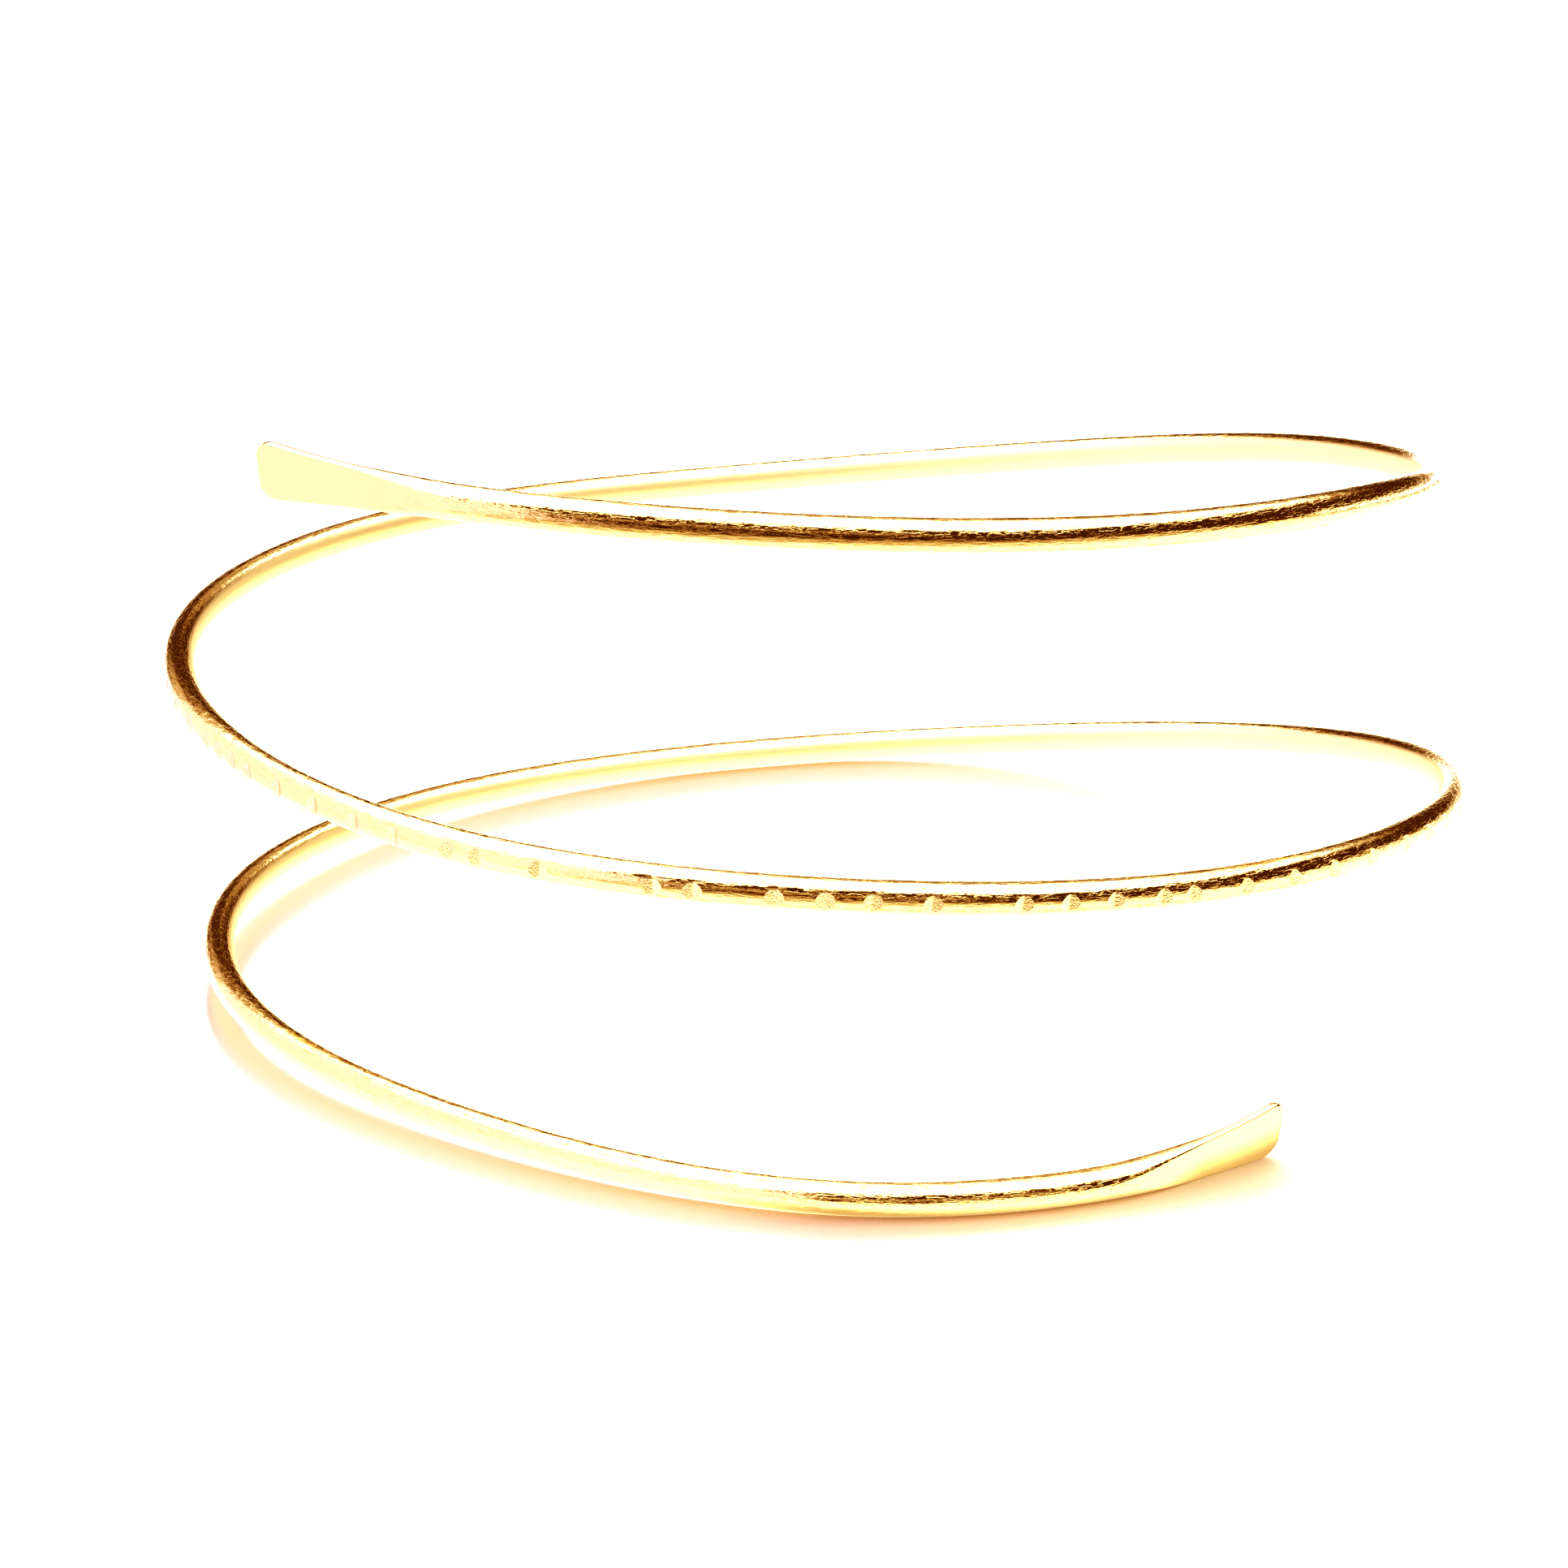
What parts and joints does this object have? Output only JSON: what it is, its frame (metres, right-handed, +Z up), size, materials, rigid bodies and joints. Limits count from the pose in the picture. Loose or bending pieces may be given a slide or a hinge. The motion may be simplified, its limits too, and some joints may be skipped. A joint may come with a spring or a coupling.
{
  "type": "upper arm cuff",
  "caption": "Open spiral cuff for the upper arm: a polished round wire with hammered flat ends and small filed notches along its middle turn.",
  "frame": {"origin": "middle of the cuff's outline, on the plane it stands on", "axes": "+Z up along the arm's axis, +Y away from the viewer, +X to the viewer's right; the lower flat end points to the front right"},
  "size_m": [0.0876, 0.09, 0.0467],
  "materials": {
    "gold_wire": "polished"
  },
  "bodies": {
    "root": {"spiral_wire": "gold_wire"}
  },
  "joints": []
}
